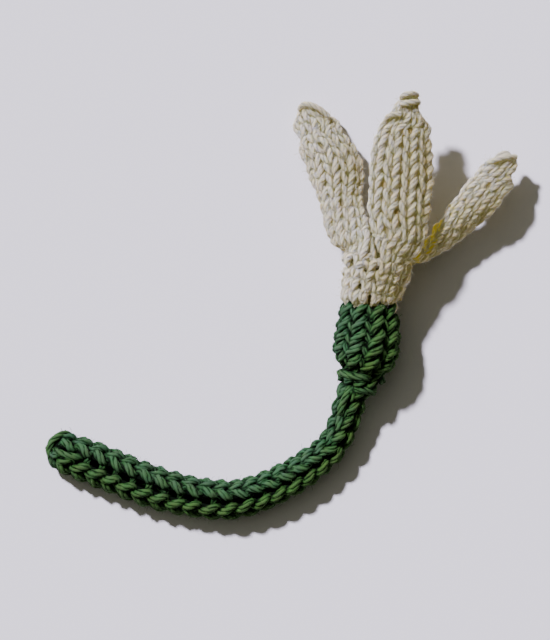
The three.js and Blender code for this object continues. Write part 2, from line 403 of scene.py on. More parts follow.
def flatRoute(edges):
    # There and back: each row turns into the next with a small loop outside the edge
    turnOut = 0.08
    turnSteps = 6
    route = []
    for row, (first, last) in enumerate(edges):
        start, end = (first, last) if row % 2 == 0 else (last, first)
        route += [(start, row + 0.5), (end, row + 0.5)]
        if row + 1 < len(edges):
            nextEnd = edges[row + 1][1] if row % 2 == 0 else edges[row + 1][0]
            outward = 1 if row % 2 == 0 else -1
            for step in range(1, turnSteps):
                share = step / turnSteps
                bulge = outward * turnOut * math.sin(math.pi * share)
                route.append((end + (nextEnd - end) * share + bulge, row + 0.5 + share))
    return route


def petalPath(name):
    place, values, forward, right, over = spine.read(spine.length)
    facing, arc = petalRims[name]
    angle = math.radians(facing)
    radius = values[0] - rimDepth
    rim = place + radius * (math.cos(angle) * right + math.sin(angle) * over)
    start = [facing, radius * math.radians(arc), arc / 2, 1]
    stations = [[*(rim + forward * step), *start] for step in (rimStep, rimStep + rimRun)]
    return Path(stations + petalStations[name])


def petalPoint(name, edges, depth=0):
    path = petalPath(name)
    rows = len(edges)
    middles = np.arange(rows) + 0.5
    firsts = [first for first, _ in edges]
    lasts = [last for _, last in edges]
    knitLength = path.length - tipRoom
    leastWidth = 2

    def pointAt(column, row):
        place, values, _, right, over = path.read(knitLength * row / rows)
        facing, width, curl, evenness = values
        width = max(width, leastWidth)
        angle = math.radians(facing)
        normal = math.cos(angle) * right + math.sin(angle) * over
        side = math.sin(angle) * right - math.cos(angle) * over
        first, last = np.interp(row, middles, firsts), np.interp(row, middles, lasts)
        across = (2 * (column - first) / (last - first) - 1) * (1 - 2 * hem / width)
        steps = 16
        shares = across * (np.arange(steps) + 0.5) / steps
        held = np.clip(shares, -1, 1)
        bends = math.radians(curl) * (evenness * held + (1 - evenness) * held**3)
        stride = across * width / 2 / steps
        along, drop = stride * np.cos(bends).sum(), stride * np.sin(bends).sum()
        outward = side * math.sin(bends[-1]) + normal * math.cos(bends[-1])
        return place + side * along - normal * drop + outward * depth

    return pointAt


def makeWeb(name, columns, rows, pointAt, thickness=0.35):
    # The fuzz that fills the gaps between stitches, a thin felt in the middle of the knitting; its dark
    # colour is painted shade
    web = makeCloth(name, columns, rows, pointAt, perColumn=5, perRow=5)
    thick = web.modifiers.new("thick", "SOLIDIFY")
    thick.thickness = thickness * mm
    thick.offset = 0
    return web


def routeObject(name, route):
    mesh = bpy.data.meshes.new(name)
    points = [(*point, 0) if len(point) == 2 else point for point in route]
    mesh.from_pydata(points, [(spot, spot + 1) for spot in range(len(points) - 1)], [])
    return link(name, mesh)


# Geometry trees

yarnInputs = {
    "Yarn Radius": "Float",
    "Plies": "Int",
    "Twist Length": "Float",
    "Ply Reach": "Float",
    "Ply Radius": "Float",
    "Sides": "Int",
    "Step": "Float",
    "Fluff": "Float",
    "Seed": "Float",
    "Material": "Material",
}

# How the spinning varies: scales of noise by the metre and what the noise adds, then how close
# the streaks of a ply lie along it and round it
spun = {
    "thickScale": 130, "thickLeast": 0.85, "thickMore": 0.3,
    "swellScale": 700, "swellLeast": 0.8, "swellMore": 0.4,
    "fluffScale": 2200, "streakAlong": 200, "streakBetween": 17, "streakRound": 0.6,
}


def addPlies(curve, given):
    # Lays plies round a line, each a tube that winds about it
    even = resampled(curve, given["Step"])
    plies = even.add(
        "GeometryNodeDuplicateElements",
        {"domain": "SPLINE"},
        {"Geometry": even, "Amount": given["Plies"]},
    )
    ply = plies.out("Duplicate Index")
    length = plies.add("GeometryNodeSplineParameter", output="Length")
    angle = (length / given["Twist Length"] + ply / given["Plies"]) * fullTurn
    normal = plies.add("GeometryNodeInputNormal")
    tangent = plies.add("GeometryNodeInputTangent")
    side = tangent.vector("CROSS_PRODUCT", tangent, normal)
    position = plies.add("GeometryNodeInputPosition")
    thick = noise(position, spun["thickScale"], 0, given["Seed"] + 5)
    plump = named(plies, "plump")
    radius = given["Yarn Radius"] * (spun["thickLeast"] + spun["thickMore"] * thick + plump)
    reach = radius * given["Ply Reach"]
    aside = normal.scaled(angle.maths("COSINE", angle) * reach)
    across = side.scaled(angle.maths("SINE", angle) * reach)
    offset = aside.vector("ADD", aside, across)
    swell = noise(position, spun["swellScale"], 1, given["Seed"] + ply)
    fullness = spun["swellLeast"] + spun["swellMore"] * swell
    plies = stored(stored(plies, "along", length), "ply", ply)
    plies = stored(plies, "tubeScale", radius * given["Ply Radius"] * fullness)
    laid = moved(plies, offset)
    circle = stored(circleOf(laid, given["Sides"]), "rim", position, "FLOAT_VECTOR")
    tube = laid.add(
        "GeometryNodeCurveToMesh",
        {},
        {"Curve": laid, "Profile Curve": circle, "Scale": named(laid, "tubeScale"), "Fill Caps": True},
    )
    rough = noise(position, spun["fluffScale"], 2, given["Seed"])
    tube = moved(tube, normal.scaled((rough - 0.5) * given["Fluff"]))
    rim = split(named(tube, "rim", "FLOAT_VECTOR"))
    along = named(tube, "along") * spun["streakAlong"] + named(tube, "ply") * spun["streakBetween"]
    fibre = joined(along, rim * spun["streakRound"], rim.out("Y") * spun["streakRound"])
    return shadedSmooth(stored(tube, "fibre", fibre, "FLOAT_VECTOR"))


def makeKnitTree():
    # Turns a route counted in stitches into loops of yarn on a cloth
    tree, given = newTree(
        "knitYarn",
        {
            "Cloth": "Object",
            "Web": "Object",
            "Loose": "Object",
            "Holes": "Object",
            "Hole Size": "Float",
            "Columns": "Float",
            "Round": "Float",
            "Lean": "Float",
            "Height": "Float",
            "Depth": "Float",
            "Middle": "Float",
            "Plump": "Float",
            "Slant": "Float",
            "Uneven": "Float",
            "Lowest": "Float",
            "Lee": "Vector",
            "Felt": "Float",
            **yarnInputs,
        },
    )
    route = given["Geometry"]
    line = route.add("GeometryNodeMeshToCurve", {}, {"Mesh": route})
    perStitch = 64
    line = resampled(line, 1 / perStitch)
    position = line.add("GeometryNodeInputPosition")
    parts = split(position)
    column, row = parts, parts.out("Y")
    leans = column * (2 * fullTurn)
    arcs = column * fullTurn
    outwards = 0 - leans.maths("COSINE", leans)
    rightLeg = 0 - arcs.maths("SINE", arcs)
    line = stored(line, "plump", outwards * given["Plump"] + rightLeg * given["Slant"])
    changesPerStitch = 1.1
    shifts = split(noise(position, changesPerStitch, 1, given["Seed"], "Color"))
    loopColumn = column + given["Lean"] * leans.maths("SINE", leans)
    loopColumn = loopColumn + given["Uneven"] * (shifts - 0.5)
    loopRow = row - given["Height"] * arcs.maths("COSINE", arcs)
    loopRow = loopRow + given["Uneven"] * (shifts.out("Y") - 0.5)
    loopDepth = given["Middle"] + given["Depth"] * outwards
    slantDepth = 1.5  # how much deeper the thin leg lies, in yarn radii
    loopDepth = loopDepth + rightLeg * given["Slant"] * given["Yarn Radius"] * slantDepth
    loopDepth = loopDepth + given["Uneven"] * given["Yarn Radius"] * (shifts.out("Z") - 0.5)
    line = moved(line, joined(loopColumn, loopRow, loopDepth), "Position")

    turns = parts / given["Columns"]
    turns = turns.maths("FLOOR", turns) * given["Columns"] * given["Round"]
    here = joined(parts - turns, row, 0)
    cloth = meshOf(given["Cloth"])
    stitch = named(cloth, "stitch", "FLOAT_VECTOR")
    normal = cloth.add("GeometryNodeInputNormal")
    ground, outward = [
        cloth.add(
            "GeometryNodeSampleUVSurface",
            {"data_type": "FLOAT_VECTOR"},
            {"Mesh": cloth, "Value": value, "UV Map": stitch, "Sample UV": here},
        )
        for value in (position, normal)
    ]
    # how far the cloth faces away from the light, for a painted shade tint on that side and a painted
    # light tint on the other
    line = stored(line, "lee", dot(outward, given["Lee"]))
    places = split(ground.vector("ADD", ground, outward.scaled(parts.out("Z"))))
    height = places.maths("MAXIMUM", places.out("Z"), given["Lowest"])
    flat = joined(places, places.out("Y"), 0)
    holes = meshOf(given["Holes"])
    nearest = holes.add(
        "GeometryNodeProximity", {"target_element": "POINTS"}, {0: holes, "Sample Position": flat}
    )
    aside = flat.vector("SUBTRACT", flat, nearest)
    away = flat.vector("NORMALIZE", aside)
    push = flat.add(
        "ShaderNodeMapRange",
        {"interpolation_type": "SMOOTHSTEP"},
        {0: nearest.out("Distance"), 1: 0.0, 2: given["Hole Size"] * 3, 3: given["Hole Size"], 4: 0.0},
    )
    laid = joined(places, places.out("Y"), height)
    laid = laid.vector("ADD", laid, away.scaled(push))
    yarn = addPlies(moved(line, laid, "Position"), given)

    lumpScale, lumpHeight, fibreScale = 900, 0.5 * mm, 400
    lumps = noise(position, lumpScale, 2)
    web = moved(meshOf(given["Web"]), normal.scaled((lumps - 0.5) * lumpHeight))
    web = stored(web, "fibre", position.scaled(fibreScale), "FLOAT_VECTOR")
    # the share of the dark painted shade colour that the felt takes
    web = shadedSmooth(stored(web, "felt", given["Felt"]))
    endTree(tree, gathered(yarn, web, meshOf(given["Loose"])), given["Material"])
    return tree


def makeLooseTree():
    # Turns any lines into yarn
    tree, given = newTree("looseYarn", yarnInputs)
    route = given["Geometry"]
    line = route.add("GeometryNodeMeshToCurve", {}, {"Mesh": route})
    endTree(tree, addPlies(line, given), given["Material"])
    return tree


def makeHairTree():
    # Grows fine loose fibres from a mesh
    tree, given = newTree(
        "looseFibres",
        {
            "Density": "Float",
            "Length": "Float",
            "Thickness": "Float",
            "Tilt": "Float",
            "Seed": "Int",
            "Material": "Material",
        },
    )
    body = given["Geometry"]
    spots = body.add(
        "GeometryNodeDistributePointsOnFaces",
        {"distribute_method": "RANDOM"},
        {"Mesh": body, "Density": given["Density"], "Seed": given["Seed"]},
    )
    # one fibre stands up, bends over and is about 1 long
    bend = {"Start": (0, 0, 0), "Start Handle": (0, 0, 0.5)}
    bend.update({"End Handle": (0.35, 0.1, 0.8), "End": (0.75, 0.3, 0.75), "Resolution": 3})
    arc = spots.add("GeometryNodeCurvePrimitiveBezierSegment", {"mode": "POSITION"}, bend)
    slim = given["Thickness"] / given["Length"]
    outline = {"Curve": arc, "Profile Curve": circleOf(arc, 3), "Scale": slim}
    hair = arc.add("GeometryNodeCurveToMesh", {}, outline)
    spin = spots.add(
        "FunctionNodeRandomValue",
        {"data_type": "FLOAT_VECTOR"},
        {"Min": (-0.5, -0.5, 0), "Max": (0.5, 0.5, fullTurn), "Seed": given["Seed"]},
    )
    tilts = spin.add("ShaderNodeCombineXYZ", {}, {"X": given["Tilt"], "Y": given["Tilt"], "Z": 1})
    tilted = spin.vector("MULTIPLY", spin, tilts)
    turn = tilted.add("FunctionNodeEulerToRotation", {}, {0: tilted})
    turned = turn.add(
        "FunctionNodeRotateRotation",
        {"rotation_space": "LOCAL"},
        {"Rotation": spots.out("Rotation"), "Rotate By": turn},
    )
    shortest, longest = 0.4, 1.3
    spread = {2: shortest, 3: longest, "Seed": given["Seed"]}
    size = spots.add("FunctionNodeRandomValue", {"data_type": "FLOAT"}, spread, 1)
    hairs = spots.add(
        "GeometryNodeInstanceOnPoints",
        {},
        {"Points": spots, "Instance": hair, "Rotation": turned, "Scale": size * given["Length"]},
    )
    hairs = hairs.add("GeometryNodeRealizeInstances", {}, {"Geometry": hairs})
    parts = split(hairs.add("GeometryNodeInputPosition"))
    height = parts.maths("MAXIMUM", parts.out("Z"), given["Thickness"])
    hairs = moved(hairs, joined(parts, parts.out("Y"), height), "Position")
    endTree(tree, gathered(body, hairs), given["Material"])
    return tree


def makeWaddingTree():
    # Teases a plain closed body into a lump of stuffing
    tree, given = newTree("wadding", {"Lump": "Float", "Size": "Float", "Material": "Material"})
    body = given["Geometry"]
    position = body.add("GeometryNodeInputPosition")
    normal = body.add("GeometryNodeInputNormal")
    lumps = noise(position, 1 / given["Size"], 5)
    still = 0.62  # where the noise neither lifts nor dents
    teased = moved(body, normal.scaled((lumps - still) * given["Lump"]))
    endTree(tree, shadedSmooth(teased), given["Material"])
    return tree


def makeCreviceTree():
    # Stores how open each point lies, from 0 in a crevice to 1, as "open" for the nearest
    # yarn and as "airy" for the whole hollow round it; the yarn colours darken by them as painted shade
    tree, given = newTree(
        "crevice", {"Whole": "Object", "Reach": "Float", "Hollow": "Float", "Material": "Material"}
    )
    mesh = given["Geometry"]
    whole = meshOf(given["Whole"])
    normal = mesh.add("GeometryNodeInputNormal")
    position = mesh.add("GeometryNodeInputPosition")
    clear = 0.03 * mm  # a ray starts this far off the surface
    start = position.vector("ADD", position, normal.scaled(clear))
    rays = 16  # spread evenly over a ball, each turned on by the golden angle
    golden = math.pi * (3 - math.sqrt(5))
    total, free, air = 0, 0, 0
    for number in range(rays):
        rise = 1 - 2 * (number + 0.5) / rays
        level = math.sqrt(1 - rise * rise)
        ray = (level * math.cos(golden * number), level * math.sin(golden * number), rise)
        facing = dot(normal, ray)
        weight = facing.maths("MAXIMUM", facing, 0.0)
        hit = position.add(
            "GeometryNodeRaycast",
            {},
            {
                "Target Geometry": whole,
                "Source Position": start,
                "Ray Direction": ray,
                "Ray Length": given["Hollow"],
            },
        )
        distance = hit.out("Hit Distance")
        near = hit.maths("MAXIMUM", 1 - distance / given["Reach"], 0.0) * hit
        total = total + weight
        free = free + weight * (1 - near)
        air = air + weight * (1 - hit * (1 - distance / given["Hollow"]))
    measured = stored(stored(mesh, "open", free / total), "airy", air / total)
    endTree(tree, measured, given["Material"])
    return tree


# Materials


def mixed(net, blend, amount, first, second):
    # Blends two colours, each a wire or three values
    first, second = [
        colour if isinstance(colour, Wire) else (*colour, 1) for colour in (first, second)
    ]
    settings = {"data_type": "RGBA", "blend_type": blend}
    return net.add("ShaderNodeMix", settings, {0: amount, 6: first, 7: second}, 2)


def ramp(net, value, start, end):
    # Leads a value smoothly from one range to another
    settings = {"interpolation_type": "SMOOTHSTEP"}
    ends = {1: start[0], 2: start[1], 3: end[0], 4: end[1]}
    return net.add("ShaderNodeMapRange", settings, {0: value, **ends})


def attribute(net, name, output="Fac"):
    return net.add("ShaderNodeAttribute", {"attribute_name": name}, {}, output)


def startMaterial(name):
    material = bpy.data.materials.new(name)
    material.use_nodes = True
    return material, Wire(material.node_tree), material.node_tree.nodes["Principled BSDF"]


# What both yarns share; a pair is the range over which an effect comes or goes
wool = {
    "patchScale": 160,
    "patchFrom": 0.35,
    "speckScale": 550,
    # the range over which the painted light tint gives way to the painted shade tint
    "turned": (-0.7, 0.7),
    "sheltered": (0.05, 0.22),
    # where the hollows get painted ochre shade and a painted glow
    "hollowOpen": (0.3, 0.6),
    "hollowFrom": (0.024, 0.030),  # only to the right of the middle petal
    "hollowBelow": (0.010, 0.013),  # and lower than its underside
    "gap": (0.2, 0.6),
    "sheenRoughness": 0.5,
    "underColour": (1.0, 0.85, 0.45),
    "underDepth": 2.0,
    "bumpDepth": 0.25,
}


def yarnMaterial(name, look):
    material, net, shader = startMaterial(name)
    opened = attribute(net, "open")
    felt = attribute(net, "felt")
    place = net.add("ShaderNodeTexCoord", {}, {}, "Object")
    streaks = noise(attribute(net, "fibre", "Vector"), look["fibreScale"], 3)
    # painted shade: the colour runs from dark in a crevice to light on open yarn
    depth = opened + (streaks - 0.5) * look["streakDepth"]
    colour = net.add("ShaderNodeValToRGB", {"stops": look["stops"]}, {"Fac": depth})
    patches = (noise(place, wool["patchScale"], 2) - wool["patchFrom"]) * look["patchAmount"]
    tinted = mixed(net, "MIX", patches, colour, look["patch"])
    specks = noise(place, wool["speckScale"], 2, output="Color")
    specks = specks.vector("ADD", specks, (0.5, 0.5, 0.5))
    speckled = mixed(net, "MULTIPLY", look["speckAmount"], tinted, specks)
    # the felt is coloured dark as painted shade of the gaps
    feltShaded = mixed(net, "MIX", felt, speckled, look["felt"])
    # painted light on the side towards the light, painted shade on the side away from it
    lee = ramp(net, attribute(net, "lee"), wool["turned"], (0.0, 1.0))
    turned = mixed(net, "MIX", lee, look["litSide"], look["lee"])
    sided = mixed(net, "MULTIPLY", 1.0, feltShaded, turned)
    # a hollow is a place that lies free of the nearest yarn, yet deep among the rest; there the colour
    # is turned ochre and darker as painted shade and bounced light, and it glows as painted light
    sheltered = ramp(net, opened - attribute(net, "airy"), wool["sheltered"], (0.0, 1.0))
    parts = split(place)
    within = ramp(net, parts, wool["hollowFrom"], (0.0, 1.0))
    within = within * ramp(net, parts.out("Z"), wool["hollowBelow"], (1.0, 0.0))
    hollow = sheltered * within * ramp(net, opened, wool["hollowOpen"], (0.0, 1.0))
    # painted glow: an emission in the gaps between stitches stands in for light that comes through the
    # wool, strongest round a hollow
    gap = ramp(net, opened, wool["gap"], (1.0, 0.0)) * (1 - felt)
    through = mixed(net, "MIX", gap, (0, 0, 0), look["gapGlow"])
    bump = {"Height": streaks, "Strength": look["bump"], "Distance": wool["bumpDepth"] * mm}
    fill(
        shader,
        {
            "Base Color": mixed(net, "MULTIPLY", hollow, sided, look["hollow"]),
            "Emission Color": mixed(net, "MIX", hollow, through, look["hollowGlow"]),
            "Emission Strength": 1.0,
            "Roughness": look["roughness"],
            "Specular IOR Level": look["specular"],
            "Sheen Weight": look["sheen"],
            "Sheen Roughness": wool["sheenRoughness"],
            "Subsurface Weight": look["under"],
            "Subsurface Radius": wool["underColour"],
            "Subsurface Scale": wool["underDepth"] * mm,
            "Normal": net.add("ShaderNodeBump", {}, bump),
        },
    )
    return material


def waddingMaterial(look):
    material, net, shader = startMaterial("toyStuffing")
    place = net.add("ShaderNodeTexCoord", {}, {}, "Object")
    wisps = noise(place, look["wispScale"], 5)
    colour = net.add("ShaderNodeValToRGB", {"stops": look["stops"]}, {"Fac": wisps})
    bump = {"Height": wisps, "Strength": look["bump"], "Distance": look["bumpDepth"] * mm}
    normal = net.add("ShaderNodeBump", {}, bump)
    fill(shader, {"Base Color": colour, "Roughness": 1.0, "Normal": normal})
    return material


# Colours from the crevices out, dark in the crevices as painted shade, then the tints that go over
# them; the felt colour, the side tints and the hollow and gap colours and glows are painted shade and
# light
greenLook = {
    "stops": [
        (0.20, (0.0003, 0.0020, 0.0003)),
        (0.42, (0.0020, 0.0120, 0.0020)),
        (0.66, (0.0110, 0.0430, 0.0100)),
        (0.94, (0.0380, 0.0880, 0.0330)),
    ],
    "felt": (0.0004, 0.0025, 0.0004),
    "speckAmount": 0.6,
    "patch": (0.050, 0.100, 0.045),
    "patchAmount": 0.5,
    "fibreScale": 6,
    "streakDepth": 0.38,
    "litSide": (0.97, 1.0, 1.18),
    "lee": (1.15, 1.12, 0.68),
    "hollow": (0.5, 0.7, 0.5),
    "hollowGlow": (0, 0, 0),
    "gapGlow": (0, 0, 0),
    "roughness": 0.9,
    "specular": 0.08,
    "sheen": 0.0,
    "under": 0.0,
    "bump": 0.6,
}
creamLook = {
    "stops": [
        (0.10, (0.20, 0.187, 0.080)),
        (0.36, (0.27, 0.246, 0.125)),
        (0.62, (0.36, 0.322, 0.190)),
        (0.92, (0.47, 0.418, 0.280)),
    ],
    "felt": (0.070, 0.060, 0.018),
    "speckAmount": 0.25,
    "patch": (0.32, 0.26, 0.11),
    "patchAmount": 0.5,
    "fibreScale": 6,
    "streakDepth": 0.28,
    "litSide": (1.08, 1.09, 1.13),
    "lee": (0.87, 0.83, 0.66),
    "hollow": (0.8, 0.65, 0.10),
    "hollowGlow": (0.12, 0.095, 0.004),
    "gapGlow": (0.100, 0.097, 0.040),
    "roughness": 0.88,
    "specular": 0.15,
    "sheen": 0.03,
    "under": 1.0,
    "bump": 0.5,
}
waddingLook = {
    "wispScale": 700, "stops": [(0.3, (0.62, 0.60, 0.55)), (0.7, (0.86, 0.85, 0.81))],
    "bump": 0.8, "bumpDepth": 0.4,
}

greenYarn = yarnMaterial("greenWool", greenLook)
creamYarn = yarnMaterial("creamWool", creamLook)
whiteWadding = waddingMaterial(waddingLook)
knitTree = makeKnitTree()
looseTree = makeLooseTree()
hairTree = makeHairTree()
waddingTree = makeWaddingTree()
creviceTree = makeCreviceTree()
print("trees and materials made")


def yarnSettings(yarn, material, seed):
    return {
        "Yarn Radius": yarn["radius"] * mm,
        "Plies": yarn["plies"],
        "Twist Length": yarn["twist"] * mm,
        "Ply Reach": yarn["reach"],
        "Ply Radius": yarn["ply"],
        "Sides": yarn["sides"],
        "Step": yarn["step"] * mm,
        "Fluff": yarn["fluff"] * mm,
        "Seed": float(seed),
        "Material": material,
    }


def looseYarn(name, lines, yarn, material, seed):
    # Short lengths of yarn along smooth lines, each a list of places in millimetres
    points, edges = [], []
    for line in lines:
        stations = np.array(line, float)
        first = len(points)
        perSpan = 6
        for step in range((len(line) - 1) * perSpan + 1):
            points.append(tuple(smooth(stations, step / perSpan) * mm))
        edges += [(spot, spot + 1) for spot in range(first, len(points) - 1)]
    mesh = bpy.data.meshes.new(name + "Lines")
    mesh.from_pydata(points, edges, [])
    guide = link(name + "Lines", mesh)
    baked = bake(guide, looseTree, yarnSettings(yarn, material, seed), name)
    discard(guide)
    return link(name, baked)


def knit(name, cloth, web, loose, route, piece, yarn, material):
    # Lays the yarn of one piece on its cloth, with its felt and its loose ends
    guide = routeObject(name + "Route", route)
    spots = [(x * mm, y * mm, 0) for x, y in slackSpots[name]] or [(1, 1, 0)]
    spotMesh = bpy.data.meshes.new(name + "Spots")
    spotMesh.from_pydata(spots, [], [])
    holes = link(name + "Spots", spotMesh)
    settings = yarnSettings(yarn, material, piece["seed"])
    settings.update(
        {
            "Cloth": cloth,
            "Web": web,
            "Loose": loose,
            "Holes": holes,
            "Hole Size": slackSize * mm,
            "Columns": float(piece["columns"]),
            "Round": float(piece["round"]),
            "Lean": piece["lean"],
            "Height": piece["height"],
            "Depth": piece["depth"] * mm,
            "Middle": piece["middle"] * mm,
            "Plump": piece["plump"],
            "Slant": piece["slant"],
            "Uneven": piece["uneven"],
            "Lowest": yarn["radius"] * floorGap * mm,
            "Lee": shadeSideDirection,
            "Felt": piece["felt"],
        }
    )
    mesh = bake(guide, knitTree, settings, name)
    discard(guide, cloth, web, loose, holes)
    return link(name, mesh)


# Spots where slack stitches gape, x and y on each piece; slackSize is how far they spread the yarn
slackSpots = {
    "knittedStem": [],
    "knittedCup": [],
    "knittedTube": [
        [17.8, 8.0], [20.8, 8.5], [19.8, 5.4], [16.9, 4.5], [18.9, 2.1], [24.9, 0.9], [13.6, 9.0],
        [15.0, 9.9], [16.6, 10.3], [18.3, 10.6], [20.0, 10.8], [22.0, 10.9],
    ],
    "leftPetal": [
        [8.4, 39.0], [8.6, 35.3], [12.6, 23.1], [9.0, 26.8], [10.8, 18.1], [15.0, 9.9], [16.6, 10.3],
        [18.3, 10.6],
    ],
    "middlePetal": [[22.0, 26.9], [24.4, 20.8], [22.8, 16.4], [27.5, 38.6], [26.0, 38.2], [20.0, 10.8]],
    "rightPetal": [[44.6, 26.9]],
}
slackSize = 0.65
# the cloth facing this way gets the painted shade tint
shadeSideDirection = (0.64, -0.77, 0.0)  # away from the window
floorGap = 1.12  # how high a yarn's middle stays above the floor, in yarn radii

# The two yarns: lengths in millimetres, reach and ply in yarn radii
greenPly = {
    "radius": 0.94, "plies": 4, "twist": 9.0, "reach": 0.46, "ply": 0.52, "sides": 5, "step": 0.72,
    "fluff": 0.16,
}
creamPly = {
    "radius": 0.68, "plies": 3, "twist": 4.6, "reach": 0.30, "ply": 0.69, "sides": 6, "step": 0.42,
    "fluff": 0.14,
}

# The knitting: from, to, depth and middle in millimetres, lean, height and uneven in stitches,
# plump and slant in yarn radii
# the felt value is how much of the dark painted shade colour the felt between stitches takes
stemKnit = {
    "from": 0.25, "to": 81.4, "columns": 5, "rows": 22, "round": 1, "ladder": 26, "closed": 1,
    "lean": 0.28, "height": 0.62, "depth": 0.62, "middle": -1.4, "plump": 0.10, "slant": 0.0,
    "uneven": 0.32, "felt": 1.0, "seed": 3,
}
cupKnit = {
    "from": 81.6, "to": 100.1, "columns": 9, "rows": 6, "round": 1,
    "lean": 0.37, "height": 0.78, "depth": 0.62, "middle": -1.5, "plump": 0.02, "slant": 0.14,
    "uneven": 0.32, "felt": 1.0, "seed": 5,
}
tubeKnit = {
    "from": 100.3, "to": 110.0, "columns": 15, "rows": 4, "round": 1,
    "lean": 0.24, "height": 0.80, "depth": 0.5, "middle": -1.2, "plump": 0.12, "slant": 0.06,
    "uneven": 0.3, "felt": 1.0, "seed": 8,
}
petalKnit = {
    "columns": 1, "round": 0, "lean": 0.21, "height": 0.84, "depth": 0.56, "middle": 0.0,
    "plump": 0.12, "slant": 0.06, "uneven": 0.32, "felt": 0.5, "seed": 11, "looseSeed": 30,
}
webDepth = 0.1  # of the fuzz behind the middle of the stitches
webInset = 0.15  # how far a petal's fuzz stays inside its edges, in stitches
webPast = 0.4  # and how far it runs on past its last row


def stemRadius(length):
    share = min(max(length / stemRoundEnd, 0), 1)
    rounded = (1 - (1 - share) ** stemRoundPower) ** (1 / stemRoundPower)
    narrowing = 0.1  # past the free end
    return spine.read(max(length, 0))[1][0] * rounded + min(length, 0) * narrowing


def cupRadius(length):
    share = (length - cupKnit["from"]) / (cupKnit["to"] - cupKnit["from"])
    radii = np.array(cupRadii)
    return float(smooth(radii, min(max(share, 0), 1) * (len(radii) - 1)))


def tubeRadius(length):
    return spine.read(max(length, tubeKnit["from"]))[1][0]


# Yarn that lies across the stitches: bars at the neck and below it, the slack cast-on loops at
# the stem's free end, and the knots at the petals' tips
looseEnds = {
    "knittedStem": [
        [[-50.6, -31.4, 5.4], [-49.4, -32.2, 7.0], [-47.2, -32.9, 7.6], [-45.2, -33.2, 7.2],
         [-44.2, -33.4, 5.6]],
        [[-50.2, -34.2, 3.4], [-51.4, -33.2, 4.8], [-51.7, -31.4, 5.6], [-51.0, -29.6, 5.9],
         [-49.4, -28.5, 5.5], [-47.8, -28.0, 4.2]],
        [[12.4, -24.2, 6.6], [12.6, -22.4, 8.2], [13.5, -20.0, 8.8], [14.6, -18.0, 8.6],
         [15.6, -17.0, 7.2]],
    ],
    "knittedCup": [
        [[12.3, -14.5, 6.6], [13.2, -14.8, 9.0], [15.4, -15.3, 10.3], [17.6, -15.6, 10.1],
         [19.2, -15.7, 8.0]],
        [[14.9, -18.0, 8.0], [16.4, -18.2, 9.2], [18.2, -18.5, 8.8], [19.8, -18.9, 7.0]],
        [[19.8, -14.8, 6.5], [20.9, -15.5, 7.6], [21.6, -16.6, 6.4]],
        [[13.9, -13.8, 8.0], [15.0, -12.9, 9.4], [16.3, -12.0, 10.2], [17.5, -11.2, 10.2]],
    ],
    "knittedTube": [],
    "leftPetal": [
        [[3.4, 43.6, 2.6], [4.4, 44.6, 4.0], [6.2, 44.4, 5.0], [8.2, 43.3, 5.6], [9.9, 41.8, 5.4]],
    ],
    "middlePetal": [
        [[25.6, 43.9, 16.2], [26.4, 44.4, 17.9], [28.2, 44.7, 18.1], [29.4, 44.6, 16.6],
         [28.6, 44.3, 15.2]],
        [[25.7, 45.6, 16.0], [26.4, 46.3, 17.4], [28.0, 46.6, 17.7], [29.2, 46.2, 16.3]],
        [[22.3, 40.3, 15.2], [22.6, 41.3, 16.6], [24.0, 42.0, 17.5], [25.6, 42.0, 17.9]],
    ],
    "rightPetal": [
        [[44.2, 31.0, 8.4], [45.4, 31.6, 9.2], [47.2, 32.3, 9.8], [49.2, 32.8, 9.6],
         [51.1, 32.9, 8.2]],
    ],
}

made = {}
for name, piece, radiusAt, yarn, material in (
    ("knittedStem", stemKnit, stemRadius, greenPly, greenYarn),
    ("knittedCup", cupKnit, cupRadius, greenPly, greenYarn),
    ("knittedTube", tubeKnit, tubeRadius, creamPly, creamYarn),
):
    columns, rows = piece["columns"], piece["rows"]
    cloth = makeCloth(name + "Cloth", (-1, columns + 1), (-2, rows + 2), roundPoint(piece, radiusAt))
    inner = roundPoint(piece, radiusAt, piece["middle"] - webDepth)
    web = makeWeb(name + "Web", (0, columns), (0, rows), inner)
    loose = looseYarn(name + "Loose", looseEnds[name], yarn, material, piece["seed"] + 1)
    made[name] = knit(name, cloth, web, loose, roundRoute(columns, rows), piece, yarn, material)
    print(name, "knitted:", len(made[name].data.polygons), "faces")

petalNames = {"petal_left": "leftPetal", "petal_middle": "middlePetal", "petal_right": "rightPetal"}
for number, (node, counts) in enumerate(petalStitches.items()):
    name = petalNames[node]
    edges = petalEdges(counts)
    firsts, lasts = [first for first, _ in edges], [last for _, last in edges]
    rows = len(edges)
    across = counts[4]  # stitches over most of the petal's length
    cloth = makeCloth(
        name + "Cloth", (min(firsts) - 2, max(lasts) + 2), (-2, rows + 2), petalPoint(node, edges)
    )
    inner = petalPoint(node, edges, -webDepth)

    def webPoint(column, row):
        # The columns are spread between the edges of their own row
        middles = np.arange(rows) + 0.5
        first, last = np.interp(row, middles, firsts), np.interp(row, middles, lasts)
        return inner(first + webInset + (last - first - 2 * webInset) * column / across, row)

    web = makeWeb(name + "Web", (0, across), (0, rows + webPast), webPoint)
    looseSeed = petalKnit["looseSeed"] + number
    loose = looseYarn(name + "Loose", looseEnds[name], creamPly, creamYarn, looseSeed)
    piece = {**petalKnit, "seed": petalKnit["seed"] + 3 * number}
    made[name] = knit(name, cloth, web, loose, flatRoute(edges), piece, creamPly, creamYarn)
    print(name, "knitted:", len(made[name].data.polygons), "faces")


